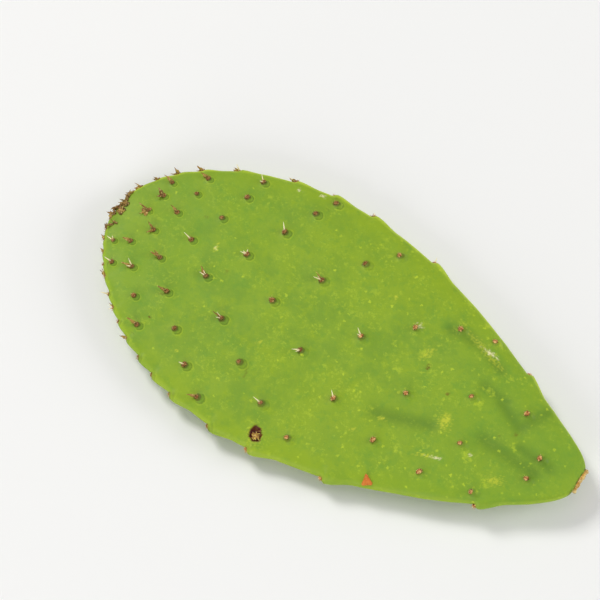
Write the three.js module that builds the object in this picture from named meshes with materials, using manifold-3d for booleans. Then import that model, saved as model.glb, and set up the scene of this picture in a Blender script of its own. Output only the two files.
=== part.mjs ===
// A prickly pear cactus pad lying flat: one grown piece, with its tubercles, areoles, spines,
// dried leaves and the corky scar of the cut base all grown on it.
// Millimetres. +X runs from the rounded tip to the cut base, +Y across the pad, +Z up.
// The origin is on the floor under the middle of the pad.

import * as THREE from 'three';
import { mergeVertices } from 'three/addons/utils/BufferGeometryUtils.js';
import Module from 'manifold-3d';

// ---- driving dimensions -------------------------------------------------------------------

const TIP_X = -150;            // the rounded tip
const HALF_LENGTH = 150.5;     // half the length of the full outline, before the base is cut
const BASE_AT = 0.988;         // where the base is cut, as a fraction of the half length
const WIDTH_TERMS = [74.3, -23.1, -15.5, 5.2];   // half width = arch x (w0 + w1 c + w2 c2 + w3 c3)
const BASE_FULL = 14;          // fills the shoulders of the base, times c16
const HALF_THICK = 8.6;        // half the thickness in the middle
const TIP_POWER = 3;           // how bluntly the thickness closes at the tip
const BASE_POWER = 4;          // and at the base
const SECTION_POWER = 2.6;     // flat faces with a rounded rim
const MID_SWAY = 1.8;          // sideways bulge of the middle line
const TIP_SWAY = 3.5;          // its drift at the tip
const BASE_SWAY = 6.6;         // and at the base, which hooks a little to +Y
const BOW = 5;                 // how far the tip and the base curve up off the floor
const DISH = 1.5;              // how far the rim curves up off the floor
const BELLY_AT = -0.09;        // the lowest place, under the weight, as a fraction of half length
const REST_DEPTH = 0.15;       // how much of the belly is pressed flat where it rests
const FLOOR_GAP = 0.4;         // the spines of the lower face stay this far off the floor

const STATIONS = 33;           // skin sections from tip to base
const SECTION_SIDES = 32;      // sides of each section

const DIVERGENCE = 137.5077;   // degrees round the stem from one areole to the next
const FACE_CENTRE = 54;        // degrees at the middle line of the upper face
const FACE_ANGLE = 67;         // degrees from the middle line to the edge of a face
const FIRST_AREOLE = -74;
const LAST_AREOLE = 70;
const AREOLE_SPAN = 75;        // areoles from the middle of the count to either end

const TUBERCLE_R = 4.4;        // radius of a full-grown tubercle on a face
const TUBERCLE_H = 1.6;        // its height
const RIM_TOOTH_R = 9.5;       // radius along the rim of a full-grown tooth of the scallops
const RIM_TOOTH_SLIM = 0.45;   // its radius across the rim, as a part of the one along it
const AREOLE_R = 1.7;          // radius of the woolly cushion
const AREOLE_H = 1.2;
const SPINE_LENGTH = 6.2;
const SPINE_R = 0.45;
const LEAF_LENGTH = 7;
const LEAF_R = 0.95;
const RIM_BARE = 25;           // the smooth end of the rim, next to the base

// The teeth of each edge: their full height, the first one's distance from the tip, their spacing
// there, and how it widens over 100 mm, by a power of the distance. A draw shifts each tooth.
const FAR_RIM = { height: 2.2, start: 1.5, step: 9.4, growth: 19.5, power: 1.5, salt: 2685 };
const NEAR_RIM = { height: 3, start: 9, step: 7, growth: 9, power: 2.5, salt: 739 };
const RIM_SHIFT = 0.6;         // the most that a tooth is shifted, as a part of the spacing

const SCAR_LIP = 1.2;          // how far the corky ring of the cut base stands out
const SCAR_SHIFT = 1.6;        // how far it lies to +Y of the middle line

const CENTRE_X = 2.7;          // brings the middle of the finished pad over the origin
const CENTRE_Y = -3.2;
const SLIVER = 0.06;           // joins closer than this to flat are merged

// ---- the form of the pad ------------------------------------------------------------------

const draw = (index, salt) => {
  const value = Math.sin(index * 12.9898 + salt * 78.233) * 43758.5453;
  return value - Math.floor(value);
};
const along = (x) => (x - TIP_X - HALF_LENGTH) / HALF_LENGTH;
const stationX = (c) => TIP_X + HALF_LENGTH * (1 + c);

const halfWidth = (c) => {
  const [w0, w1, w2, w3] = WIDTH_TERMS;
  const shoulders = c > 0 ? BASE_FULL * c ** 16 : 0;
  return Math.sqrt(Math.max(0, 1 - c * c)) * (w0 + w1 * c + w2 * c * c + w3 * c * c * c + shoulders);
};
const halfThick = (c) => {
  const p = c < 0 ? TIP_POWER : BASE_POWER;
  return HALF_THICK * Math.pow(Math.max(0, 1 - Math.pow(Math.abs(c), p)), 1 / p);
};
const sway = (c) => MID_SWAY * (1 - c * c) + (c < 0 ? TIP_SWAY * c * c : BASE_SWAY * Math.pow(c, 5));
const midHeight = (c, v) => HALF_THICK - REST_DEPTH + BOW * (c - BELLY_AT) ** 2 + DISH * v * v;

// how much of the thickness is left at a fraction v of the half width
const bulge = (v) => Math.pow(Math.max(0, 1 - Math.pow(Math.abs(v), SECTION_POWER)), 1 / SECTION_POWER);

// a point of the upper (side 1) or lower (side -1) face
function skinPoint(x, y, side) {
  const c = along(x);
  const v = (y - sway(c)) / halfWidth(c);
  return new THREE.Vector3(x, y, midHeight(c, v) + side * halfThick(c) * bulge(v));
}

// a frame on the skin: out of the surface, and along it towards the tip
function skinFrame(x, y, side) {
  const step = 0.5;
  const point = skinPoint(x, y, side);
  const alongX = skinPoint(x + step, y, side).sub(skinPoint(x - step, y, side));
  const alongY = skinPoint(x, y + step, side).sub(skinPoint(x, y - step, side));
  const out = alongX.cross(alongY).normalize().multiplyScalar(side);
  return orient(point, out, new THREE.Vector3(-1, 0, 0));
}

function orient(point, out, towards) {
  const tipward = towards.clone().addScaledVector(out, -towards.dot(out)).normalize();
  const across = out.clone().cross(tipward);
  return { point, out, tipward, across };
}

// ---- where the areoles grow ---------------------------------------------------------------

// Areoles sit one after the other round the flattened stem, each turned by the divergence
// angle from the last, and further apart towards the base. The lower face carries the other
// half of the same spiral.
function faceAreoles(side) {
  const found = [];
  for (let m = FIRST_AREOLE; m <= LAST_AREOLE; m += 1) {
    const centre = FACE_CENTRE + (side > 0 ? 0 : 180);
    const turn = 180 - (((DIVERGENCE * m + centre + 180) % 360) + 360) % 360;
    const s = turn / FACE_ANGLE;
    if (Math.abs(s) > 1.2) continue;
    const u = m / AREOLE_SPAN;
    const x = -37 + 169 * u + 85 * u * u + 14 * u ** 3
      - (25 + 15 * u) * s * s - (23 + 24 * u) * u * s;
    const v = -0.019 - 1.132 * s + 0.221 * s ** 3;
    const c = along(x);
    if (c > 0.945 || (1 - Math.abs(v)) * halfWidth(c) < 4.5) continue;
    found.push({ x, y: sway(c) + side * v * halfWidth(c), side, index: m + 200 * (side + 2) });
  }
  return found;
}

// points of the outline, by distance from the tip along one edge
function edgeWalk(edge) {
  const walk = [];
  let distance = 0;
  for (let i = 0; i <= 600; i += 1) {
    const c = -Math.cos((Math.PI * i) / 600);
    if (c > BASE_AT) break;
    const point = new THREE.Vector2(stationX(c), sway(c) + edge * halfWidth(c));
    if (i > 0) distance += point.distanceTo(walk[i - 1].point);
    walk.push({ point, distance, c });
  }
  return walk;
}

function rimAreoles(edge, { height, start, step, growth, power, salt }) {
  const walk = edgeWalk(edge);
  const found = [];
  let d = start;
  for (let k = 0; d < walk.at(-1).distance - RIM_BARE; k += 1) {
    const index = 50 + k + 30 * edge;
    const gap = step + growth * (d / 100) ** power;
    const shifted = d + RIM_SHIFT * gap * (draw(index, salt) - 0.5);
    const i = Math.max(1, walk.findIndex((w) => w.distance >= shifted));
    d += gap;
    const way = walk[i + 1].point.clone().sub(walk[i - 1].point).normalize();
    const { point, c } = walk[i];
    const out = new THREE.Vector3(-edge * way.y, edge * way.x, 0.12 * (k % 2 ? 1 : -1)).normalize();
    const place = new THREE.Vector3(point.x, point.y, midHeight(c, 1));
    const frame = orient(place, out, new THREE.Vector3(-way.x, -way.y, 0));
    found.push({ ...frame, onRim: true, tooth: height, x: point.x, index });
  }
  return found;
}

// ---- solids -------------------------------------------------------------------------------

const wasm = await Module();
wasm.setup();

// a closed solid through rings of points; each end closes on one point
function ringSolid(start, rings, end) {
  const count = rings[0].length;
  const points = [start, ...rings.flat(), end];
  const last = points.length - 1;
  const faces = [];
  for (let k = 0; k < count; k += 1) {
    const n = (k + 1) % count;
    faces.push(0, 1 + n, 1 + k, last, last - count + k, last - count + n);
    for (let r = 0; r + 1 < rings.length; r += 1) {
      const a = 1 + r * count;
      faces.push(a + k, a + n, a + count + k, a + n, a + count + n, a + count + k);
    }
  }
  let geometry = new THREE.BufferGeometry();
  geometry.setAttribute('position', new THREE.Float32BufferAttribute(points.flatMap((p) => p.toArray()), 3));
  geometry.setIndex(faces);
  geometry = mergeVertices(geometry, 1e-5);
  return new wasm.Manifold(new wasm.Mesh({
    numProp: 3,
    vertProperties: new Float32Array(geometry.getAttribute('position').array),
    triVerts: new Uint32Array(geometry.getIndex().array),
  }));
}

// a point given in a frame: forward to the tip, sideways, and out of the skin
const inFrame = (f, forward, aside, out) => f.point.clone()
  .addScaledVector(f.tipward, forward)
  .addScaledVector(f.across, aside)
  .addScaledVector(f.out, out);

function ring(f, sides, centreForward, radiusForward, radiusAside, out, tilt = 0) {
  return Array.from({ length: sides }, (_, k) => {
    const a = (2 * Math.PI * (k + 0.5)) / sides;
    const forward = centreForward + radiusForward * Math.cos(a);
    return inFrame(f, forward, radiusAside * Math.sin(a), out - tilt * radiusForward * Math.cos(a));
  });
}

// how far towards the tip the cushion sits on its mound
const cushionForward = (f, size) => (f.onRim ? 0.3 * RIM_TOOTH_R : 0.33 * TUBERCLE_R) * size;

// a low mound whose steeper side faces the tip, with its small woolly cushion on that side
function tubercle(f, size, height, cushion) {
  const r = (f.onRim ? RIM_TOOTH_R : TUBERCLE_R) * size;
  const aside = r * (f.onRim ? RIM_TOOTH_SLIM : 0.92);
  const wool = AREOLE_R * (0.7 + 0.3 * size);
  const forward = cushionForward(f, size);
  return ringSolid(
    inFrame(f, 0, 0, -1.6),
    [
      ring(f, 6, (f.onRim ? -0.4 : -0.12) * r, 1.05 * r, aside, -0.8),
      ring(f, 6, forward, 1.15 * wool, 1.15 * wool, height, 0.15),
      ring(f, 6, forward + 0.25 * wool, 0.75 * wool, 0.75 * wool, height + 0.8 * cushion, 0.3),
    ],
    inFrame(f, forward + 0.35 * wool, 0, height + cushion),
  );
}

// a taper from the cushion, laid lower where it would reach the floor
function taper(f, size, height, { length, radius, lift, turn, sides, belly }) {
  const root = inFrame(f, cushionForward(f, size) + 0.2 * AREOLE_R, 0, height);
  const way = f.tipward.clone().multiplyScalar(Math.cos(turn)).addScaledVector(f.across, Math.sin(turn));
  let angle = lift;
  let g;
  do {
    const axis = way.clone().multiplyScalar(Math.cos(angle)).addScaledVector(f.out, Math.sin(angle));
    g = orient(root, axis.normalize(), f.out);
    angle -= 0.06;
  } while (inFrame(g, 0, 0, length).z < FLOOR_GAP && angle > 0);
  if (Math.min(inFrame(g, 0, 0, length).z, root.z - radius) < FLOOR_GAP) return [];
  const rings = [ring(g, sides, 0, radius, radius, 0)];
  if (belly) rings.push(ring(g, sides, 0.06 * length, 0.8 * radius, 0.8 * radius, 0.55 * length));
  return [ringSolid(inFrame(g, 0, 0, -0.6), rings, inFrame(g, 0.04 * length, 0, length))];
}

function skin() {
  const rings = [];
  for (let j = 1; j < STATIONS; j += 1) {
    const c = -Math.cos((Math.acos(-BASE_AT) * j) / (STATIONS - 1));
    rings.push(section(c, stationX(c), 1));
  }
  const end = stationX(BASE_AT);
  rings.push(section(BASE_AT, end + 0.5 * SCAR_LIP, 0.92, SCAR_SHIFT));
  rings.push(section(BASE_AT, end + SCAR_LIP, 0.8, SCAR_SHIFT));
  rings.push(section(BASE_AT, end + 0.4 * SCAR_LIP, 0.58, SCAR_SHIFT));
  const middle = new THREE.Vector3(end + 0.5 * SCAR_LIP, sway(BASE_AT) + SCAR_SHIFT, midHeight(BASE_AT, 0));
  return ringSolid(new THREE.Vector3(TIP_X, sway(-1), midHeight(-1, 0)), rings, middle);
}

function section(c, x, size, shift = 0) {
  return Array.from({ length: SECTION_SIDES }, (_, k) => {
    const a = (2 * Math.PI * k) / SECTION_SIDES;
    const v = Math.cos(a);
    const w = Math.sign(Math.sin(a)) * bulge(v);
    return new THREE.Vector3(
      x,
      sway(c) + shift + size * halfWidth(c) * v,
      midHeight(c, v) + size * halfThick(c) * w,
    );
  });
}

// ---- everything grown on the pad ----------------------------------------------------------

function grown(f, x, side, index) {
  const reach = Math.min(1, Math.max(0, (x - TIP_X) / 170));
  const size = 0.5 + 0.5 * reach * (2 - reach);
  const clear = side < 0 ? f.point.z : Infinity;
  if (clear < FLOOR_GAP) return [];
  const height = Math.min(f.onRim ? f.tooth * size * size : TUBERCLE_H * size, 0.4 * clear);
  const cushion = Math.min(AREOLE_H, 0.35 * clear);
  const pieces = [tubercle(f, size, height, cushion)];
  const leafy = x < -95 ? 0.7 : x < 20 ? 0.15 : 0;
  const spiny = x < -95 ? 0.4 : x < 20 ? 0.55 : 0.15;
  if (draw(index, 1) < leafy) {
    pieces.push(...taper(f, size, height, {
      length: LEAF_LENGTH * (0.8 + 0.35 * draw(index, 2)), radius: LEAF_R,
      lift: 0.6 + 0.3 * draw(index, 3), turn: 0.8 * (draw(index, 4) - 0.5), sides: 4, belly: true,
    }));
  }
  if (draw(index, 5) < spiny) {
    pieces.push(...taper(f, size, height, {
      length: SPINE_LENGTH * (0.75 + 0.5 * draw(index, 6)), radius: SPINE_R,
      lift: 0.35 + 0.5 * draw(index, 7), turn: 2.6 * (draw(index, 8) - 0.5), sides: 3, belly: false,
    }));
  }
  return pieces;
}

const pieces = [];
for (const side of [1, -1]) {
  for (const a of faceAreoles(side)) {
    pieces.push(...grown(skinFrame(a.x, a.y, side), a.x, side, a.index));
  }
}
for (const a of [...rimAreoles(1, FAR_RIM), ...rimAreoles(-1, NEAR_RIM)]) {
  pieces.push(...grown(a, a.x, 0, a.index));
}

let pad = skin();
for (const piece of pieces) pad = pad.add(piece);

// slivers along the joins are merged away
pad = pad.asOriginal().simplify(SLIVER);

// the floor presses the belly flat
const floor = new THREE.BoxGeometry(400, 260, 40);
floor.translate(0, 0, -20);
floor.deleteAttribute('normal');
floor.deleteAttribute('uv');
const block = mergeVertices(floor, 1e-5);
pad = pad.subtract(new wasm.Manifold(new wasm.Mesh({
  numProp: 3,
  vertProperties: new Float32Array(block.getAttribute('position').array),
  triVerts: new Uint32Array(block.getIndex().array),
})));

const result = pad.getMesh();
const geometry = new THREE.BufferGeometry();
geometry.setAttribute('position', new THREE.BufferAttribute(new Float32Array(result.vertProperties), 3));
geometry.setIndex(new THREE.BufferAttribute(new Uint32Array(result.triVerts), 1));
geometry.translate(CENTRE_X, CENTRE_Y, 0);
geometry.computeVertexNormals();

const material = new THREE.MeshStandardMaterial({ color: 0x86ab34, roughness: 0.45, metalness: 0 });
const mesh = new THREE.Mesh(geometry, material);
mesh.name = 'cactus_pad';

const cactus = new THREE.Group();
cactus.add(mesh);

export default cactus;
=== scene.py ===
"""A prickly pear cactus pad lying flat, laid out as an add-on and run as a script.

Lengths are millimetres until a mesh is made, and metres in the mesh. +X runs from the rounded
tip to the cut base, +Y across the pad, +Z up, with the floor at Z = 0.
"""

import math
import random

import bpy
import numpy as np
from mathutils import Matrix, Vector, noise


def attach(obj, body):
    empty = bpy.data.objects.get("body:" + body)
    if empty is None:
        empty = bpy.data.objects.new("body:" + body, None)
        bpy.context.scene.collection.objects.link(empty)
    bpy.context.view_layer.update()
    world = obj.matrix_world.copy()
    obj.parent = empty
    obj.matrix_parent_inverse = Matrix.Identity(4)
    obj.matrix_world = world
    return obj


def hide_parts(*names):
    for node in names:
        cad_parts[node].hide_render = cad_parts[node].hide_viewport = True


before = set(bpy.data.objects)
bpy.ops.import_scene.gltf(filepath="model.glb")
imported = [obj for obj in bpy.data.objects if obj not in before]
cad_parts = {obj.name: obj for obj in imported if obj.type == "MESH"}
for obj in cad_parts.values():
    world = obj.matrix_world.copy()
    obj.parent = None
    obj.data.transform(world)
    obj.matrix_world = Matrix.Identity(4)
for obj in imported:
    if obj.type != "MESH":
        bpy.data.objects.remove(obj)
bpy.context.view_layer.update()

bl_info = {
    "name": "Prickly pear cactus pad",
    "version": (1, 0, 0),
    "blender": (4, 5, 0),
    "location": "View3D > Sidebar > Cactus pad",
    "description": "Builds the skin, areoles, spines, dried leaves and scars of a cactus pad",
    "category": "Add Mesh",
}

MM = 0.001
SEED = 31

# ---- the form of the pad, the same as the solid's ----

TIP_X = -150.0  # the rounded tip
HALF_LENGTH = 150.5  # half the length of the full outline, before the base is cut
BASE_AT = 0.988  # where the base is cut, as a fraction of the half length
WIDTH_TERMS = (74.3, -23.1, -15.5, 5.2)  # by powers of c, which runs along the pad from -1 to 1
BASE_FULL = 14.0  # fills the shoulders of the base
HALF_THICK = 8.6  # in the middle
TIP_POWER, BASE_POWER = 3.0, 4.0  # how bluntly the thickness closes at either end
SECTION_POWER = 2.6  # flat faces with a rounded rim
MID_SWAY = 1.8  # sideways bulge of the middle line
TIP_SWAY, BASE_SWAY = 3.5, 6.6  # its drift at either end
BOW, DISH = 5.0, 1.5  # how far the ends and the rim curve up
BELLY_AT = -0.09  # the lowest place, as a fraction of the half length
REST_DEPTH = 0.15  # how much of the belly is pressed flat
FLOOR_GAP = 0.4  # what grows on the lower face stays this far off the floor
CENTRE = np.array((2.7, -3.2, 0.0))  # brings the middle of the pad over the origin

DIVERGENCE = 137.5077  # degrees round the stem from one areole to the next
FACE_CENTRE = 54.0  # degrees at the middle line of the upper face
FACE_ANGLE = 67.0  # degrees from the middle line to the edge of a face
PAST_EDGE = 1.2  # how far the spiral is followed past the edge, in face angles
FIRST_AREOLE, LAST_AREOLE = -74, 70
AREOLE_SPAN = 75.0  # areoles from the middle of the count to either end
# u runs along the spiral and s across a face, both from -1 to 1
ALONG_TERMS = (-37.0, 169.0, 85.0, 14.0)  # x at the middle line, by powers of u
BEND_TERMS = (25.0, 15.0)  # how far the ends of a row bend to the tip
SLANT_TERMS = (23.0, 24.0)  # how far a row slants
ACROSS_TERMS = (-0.019, -1.132, 0.221)  # the place across the face, by s and its cube
NECK_BARE = 0.945  # a face has no areoles beyond this fraction of the half length
EDGE_BARE = 4.5  # nor this near its edge
RIM_BARE = 25.0  # the smooth end of the rim, next to the base
# height of the teeth, start, first step, growth over 100 mm, its power and the salt of the shifts
FAR_RIM = (2.2, 1.5, 9.4, 19.5, 1.5, 2685)
NEAR_RIM = (3.0, 9.0, 7.0, 9.0, 2.5, 739)
RIM_SHIFT = 0.6  # the most that a tooth is shifted, as a part of the spacing
RIM_LEAN = 0.12  # the teeth lean up and down in turn

TUBERCLE_R, TUBERCLE_H = 4.4, 1.6  # radius and height of a full-grown tubercle
RIM_TOOTH_R = 9.5  # radius along the rim of a full-grown tooth
AREOLE_R = 1.7  # radius of the woolly cushion
FULL_GROWN = 170.0  # tubercles this far from the tip are full-grown
YOUNG_SIZE = 0.5  # the size of one at the very tip
GAP_SHARE = 0.4  # the most of the gap to the floor that a tubercle takes
FACE_FORWARD = 0.33 * TUBERCLE_R  # how far towards the tip an areole sits
RIM_FORWARD = 0.3 * RIM_TOOTH_R
SCAR_SHIFT = 1.6  # how far the scar lies to +Y of the middle line


def draw(index, salt):
    """The same seeded draw as the solid's, from 0 to 1."""
    value = math.sin(index * 12.9898 + salt * 78.233) * 43758.5453
    return value - math.floor(value)


def along(x):
    return (x - TIP_X - HALF_LENGTH) / HALF_LENGTH


def half_width(c):
    w0, w1, w2, w3 = WIDTH_TERMS
    terms = w0 + w1 * c + w2 * c * c + w3 * c**3 + BASE_FULL * np.maximum(c, 0) ** 16
    return np.sqrt(np.clip(1 - c * c, 0, None)) * terms


def half_thick(c):
    p = np.where(c < 0, TIP_POWER, BASE_POWER)
    return HALF_THICK * np.clip(1 - np.abs(c) ** p, 0, None) ** (1 / p)


def sway(c):
    return MID_SWAY * (1 - c * c) + np.where(c < 0, TIP_SWAY * c * c, BASE_SWAY * c**5)


def bulge(v):
    return np.clip(1 - np.abs(v) ** SECTION_POWER, 0, None) ** (1 / SECTION_POWER)


def mid_height(c, v):
    return HALF_THICK - REST_DEPTH + BOW * (c - BELLY_AT) ** 2 + DISH * v * v


def skin_place(c, v, w):
    """Points of the smooth skin: c along the pad, v across it, w from the lower to the upper face."""
    x = TIP_X + HALF_LENGTH * (1 + c)
    return np.stack((x, sway(c) + half_width(c) * v, mid_height(c, v) + half_thick(c) * w), -1)


def skin_point(x, y, side=1):
    """The point of the upper (1) or lower (-1) face over or under a place."""
    c = along(x)
    v = (y - sway(c)) / half_width(c)
    return skin_place(c, v, side * bulge(v))


def unit(a):
    return a / np.maximum(np.linalg.norm(a, axis=-1, keepdims=True), 1e-12)


def turned(x, y, degrees):
    """A place turned anticlockwise about the origin."""
    angle = math.radians(degrees)
    return x * math.cos(angle) - y * math.sin(angle), y * math.cos(angle) + x * math.sin(angle)


def ease(t):
    """From 0 to 1, soft at both ends."""
    t = np.clip(t, 0, 1)
    return t * t * (3 - 2 * t)


# ---- where the areoles grow ----


class Seat:
    """One areole: its place on the smooth skin, and a frame out of the skin and towards the tip."""

    def __init__(self, point, out, towards, side, index, tooth=0.0):
        self.point = np.asarray(point, float)
        self.out = unit(np.asarray(out, float))
        towards = np.asarray(towards, float)
        self.tipward = unit(towards - self.out * np.dot(towards, self.out))
        self.across = np.cross(self.out, self.tipward)
        self.side = side
        self.index = index
        self.on_rim = tooth > 0
        grown = min(1.0, max(0.0, (self.point[0] - TIP_X) / FULL_GROWN))
        self.size = YOUNG_SIZE + (1 - YOUNG_SIZE) * grown * (2 - grown)
        self.clear = self.point[2] if side < 0 else math.inf
        full = tooth * self.size**2 if self.on_rim else TUBERCLE_H * self.size
        self.height = min(full, GAP_SHARE * self.clear)
        self.forward = (RIM_FORWARD if self.on_rim else FACE_FORWARD) * self.size

    def draw(self, salt, low=0.0, high=1.0):
        """The seat's own draw, from low to high."""
        return low + (high - low) * draw(self.index, salt)


def face_frame(x, y, side, index):
    along_x = skin_point(x + 0.5, y, side) - skin_point(x - 0.5, y, side)
    along_y = skin_point(x, y + 0.5, side) - skin_point(x, y - 0.5, side)
    out = np.cross(along_x, along_y) * side
    return Seat(skin_point(x, y, side), out, (-1, 0, 0), side, index)


def face_seats(side):
    """The spiral of the stem: each areole is turned by the divergence from the last."""
    a0, a1, a2, a3 = ALONG_TERMS
    seats = []
    for m in range(FIRST_AREOLE, LAST_AREOLE + 1):
        centre = FACE_CENTRE + (0 if side > 0 else 180)
        turn = 180 - (DIVERGENCE * m + centre + 180) % 360
        s = turn / FACE_ANGLE
        if abs(s) > PAST_EDGE:
            continue
        u = m / AREOLE_SPAN
        bend = (BEND_TERMS[0] + BEND_TERMS[1] * u) * s * s
        slant = (SLANT_TERMS[0] + SLANT_TERMS[1] * u) * u * s
        x = a0 + a1 * u + a2 * u * u + a3 * u**3 - (bend + slant)
        v = ACROSS_TERMS[0] + ACROSS_TERMS[1] * s + ACROSS_TERMS[2] * s**3
        c = along(x)
        width = half_width(c)
        if c > NECK_BARE or (1 - abs(v)) * width < EDGE_BARE:
            continue
        seats.append(face_frame(x, sway(c) + side * v * width, side, m + 200 * (side + 2)))
    return seats


def rim_seats(edge, height, start, step, growth, power, salt):
    """The teeth of the rim, further apart with the distance from the tip."""
    c = -np.cos(np.linspace(0, math.pi, 601))
    c = c[c <= BASE_AT]
    x = TIP_X + HALF_LENGTH * (1 + c)
    y = sway(c) + edge * half_width(c)
    distance = np.concatenate(([0], np.cumsum(np.hypot(np.diff(x), np.diff(y)))))
    seats, d, k = [], start, 0
    while d < distance[-1] - RIM_BARE:
        index = 50 + k + 30 * edge
        gap = step + growth * (d / 100) ** power
        shifted = d + RIM_SHIFT * gap * (draw(index, salt) - 0.5)
        i = max(1, int(np.argmax(distance >= shifted)))
        way = unit(np.array((x[i + 1] - x[i - 1], y[i + 1] - y[i - 1])))
        out = (-edge * way[1], edge * way[0], RIM_LEAN if k % 2 else -RIM_LEAN)
        place = (x[i], y[i], mid_height(c[i], 1.0))
        seats.append(Seat(place, out, (-way[0], -way[1], 0), 0, index, height))
        d += gap
        k += 1
    return seats


def all_seats():
    seats = face_seats(1) + face_seats(-1) + rim_seats(1, *FAR_RIM) + rim_seats(-1, *NEAR_RIM)
    return [seat for seat in seats if seat.clear >= FLOOR_GAP]


# ---- the relief of the skin ----

# a tooth of the rim, in its radii: its highest place, the slope from the base side, the drop to
# the tip, and half its width across the rim
TOOTH_TOP, TOOTH_SLOPE, TOOTH_DROP, TOOTH_SLIM = 0.1, 1.65, 0.36, 0.52
# a tubercle of a face, in its radii: its blister, how far that lies to the base, and its skirt
BLISTER_R, BLISTER_BACK, SKIRT_R = 0.66, 0.14, 1.7
BLISTER_SHARE, SKIRT_SHARE = 0.8, 0.25  # what each adds, as a part of the height
UPPER = 0.2  # skin whose normal rises more than this is of the upper face

# soft creases of the upper face: from x, y to x, y, then width and depth in millimetres
CREASES = (
    (57, 46, 82, 37, 3.0, 0.33),
    (80, 24, 94, 23, 3.2, 0.42),
    (92, 21, 107, 14, 3.8, 0.51),
    (38, -21, 67, -11, 4.2, 0.42),
    (46, 43, 62, 43, 3.4, 0.39),
    (95, -2, 127, -4, 4.8, 0.675),
    (116, 30, 108, 14, 3.8, 0.45),
    (114, 4, 132, 3, 3.8, 0.42),
)
PIT = (-9.4, -66.4, 3.1, 4.0, 33.7)  # an old healed wound: x, y, its two radii and its turn
PIT_DEPTH, PIT_LIP = 1.7, 0.22  # how far its floor lies down and its lip stands up


def tooth_shape(seat, forward, aside, facing):
    """How far a tubercle rises, from 0 to 1: on the rim a long slope from the base side that drops
    steeply to the tip, and on a face a small round blister on a low skirt."""
    if seat.on_rim:
        r = RIM_TOOTH_R * seat.size
        top = TOOTH_TOP * r
        run = np.where(forward < top, (top - forward) / (TOOTH_SLOPE * r), (forward - top) / (TOOTH_DROP * r))
        return ease(1 - run) * np.exp(-((aside / (TOOTH_SLIM * r)) ** 2)) * ease((facing - 0.12) / 0.6)
    r = TUBERCLE_R * seat.size
    far = np.hypot(forward / r + BLISTER_BACK, aside / r)
    blister = np.clip(1 - (far / BLISTER_R) ** 2, 0, 1)
    return BLISTER_SHARE * blister + SKIRT_SHARE * ease(1 - far / SKIRT_R)


def creases(points, upper):
    """How deep the creases are at each point, and how strongly painted shade darkens it there."""
    sunk, crease_shade = np.zeros((2, len(points)))
    for x1, y1, x2, y2, width, depth in CREASES:
        a, b = np.array((x1, y1)), np.array((x2, y2))
        t = np.clip((points[:, :2] - a) @ (b - a) / np.dot(b - a, b - a), 0, 1)
        off = np.linalg.norm(points[:, :2] - a - t[:, None] * (b - a), axis=1)
        groove = np.exp(-((off / width) ** 2)) * upper
        sunk += depth * groove
        crease_shade = np.maximum(crease_shade, groove)
    return sunk, crease_shade


def old_wound(points, upper):
    """How far the wound stands out at each point, less than 0 inside its lip, and its scab."""
    px, py, rx, ry, turn = PIT
    across, up = turned(points[:, 0] - px, points[:, 1] - py, -turn)
    around = np.arctan2(up, across)
    ragged = 1 + 0.05 * np.sin(3 * around + 1) + 0.06 * np.sin(7 * around)
    far = np.hypot(across / rx, up / ry) * ragged
    lip = np.exp(-(((far - 1.3) / 0.22) ** 2))
    out = (PIT_LIP * lip - PIT_DEPTH * ease((1.12 - far) / 0.34)) * upper
    return out, 1.3 * ease((1.24 - far) / 0.3) * upper


def relief(points, normals, seats):
    """How far the skin stands out at each point, and the attributes that its colours read."""
    height, near_seat = np.zeros((2, len(points)))
    seat_at = np.tile((9.0, 9.0, 0.0), (len(points), 1))
    nearest = np.full(len(points), math.inf)
    for seat in seats:
        d = points - seat.point
        r = (RIM_TOOTH_R if seat.on_rim else TUBERCLE_R) * seat.size
        near = (np.einsum("ij,ij->i", d, d) < (2.4 * r) ** 2) & (normals @ seat.out > 0.02)
        if not near.any():
            continue
        forward, aside = d[near] @ seat.tipward, d[near] @ seat.across
        shape = tooth_shape(seat, forward, aside, normals[near] @ seat.out)
        height[near] = np.maximum(height[near], seat.height * shape)

        # places in tubercle radii, so that the painted shade and highlight of each blister, and its bump, can
        # be drawn finer than the mesh
        own = TUBERCLE_R * (0.9 if seat.on_rim else 1.0) * seat.size
        shift = seat.forward - 0.33 * own if seat.on_rim else 0.0
        far = np.linalg.norm(d[near] - shift * seat.tipward, axis=1) / own
        closer = far < nearest[near]
        rows = np.where(near)[0][closer]
        nearest[rows] = far[closer]
        seat_at[rows, 0] = (forward[closer] - shift) / own
        seat_at[rows, 1] = aside[closer] / own
        near_seat[rows] = ease((1.8 - far[closer]) / 0.5) * (0.8 if seat.on_rim else 1.0)
    upper = normals[:, 2] > UPPER
    sunk, crease_shade = creases(points, upper)
    wound, scab = old_wound(points, upper)
    values = {"near_seat": near_seat, "crease_shade": crease_shade, "pit": scab, "seat_at": seat_at}
    return height - sunk + wound, values


def swell(points):
    """Broad unevenness of the flesh."""
    return 0.55 * shake(points, 1 / 34) + 0.16 * shake(points, 1 / 11, (7, 1, 3))


# ---- small helpers ----


def deselect_all():
    if bpy.context.object and bpy.context.object.mode != "OBJECT":
        bpy.ops.object.mode_set(mode="OBJECT")
    bpy.ops.object.select_all(action="DESELECT")


def pick(obj):
    deselect_all()
    obj.select_set(True)
    bpy.context.view_layer.objects.active = obj


def add_primitive(kind, **settings):
    """Adds a primitive mesh, alone in hand."""
    deselect_all()
    getattr(bpy.ops.mesh, f"primitive_{kind}_add")(**settings)
    return bpy.context.object


def add_cone(sides, bottom, top):
    """A cone one unit high, whose ends are fans of triangles."""
    size = {"vertices": sides, "radius1": bottom, "radius2": top, "depth": 1.0}
    return add_primitive("cone", **size, end_fill_type="TRIFAN")


def read_points(obj):
    flat = np.empty(len(obj.data.vertices) * 3)
    obj.data.vertices.foreach_get("co", flat)
    return flat.reshape(-1, 3)


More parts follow.
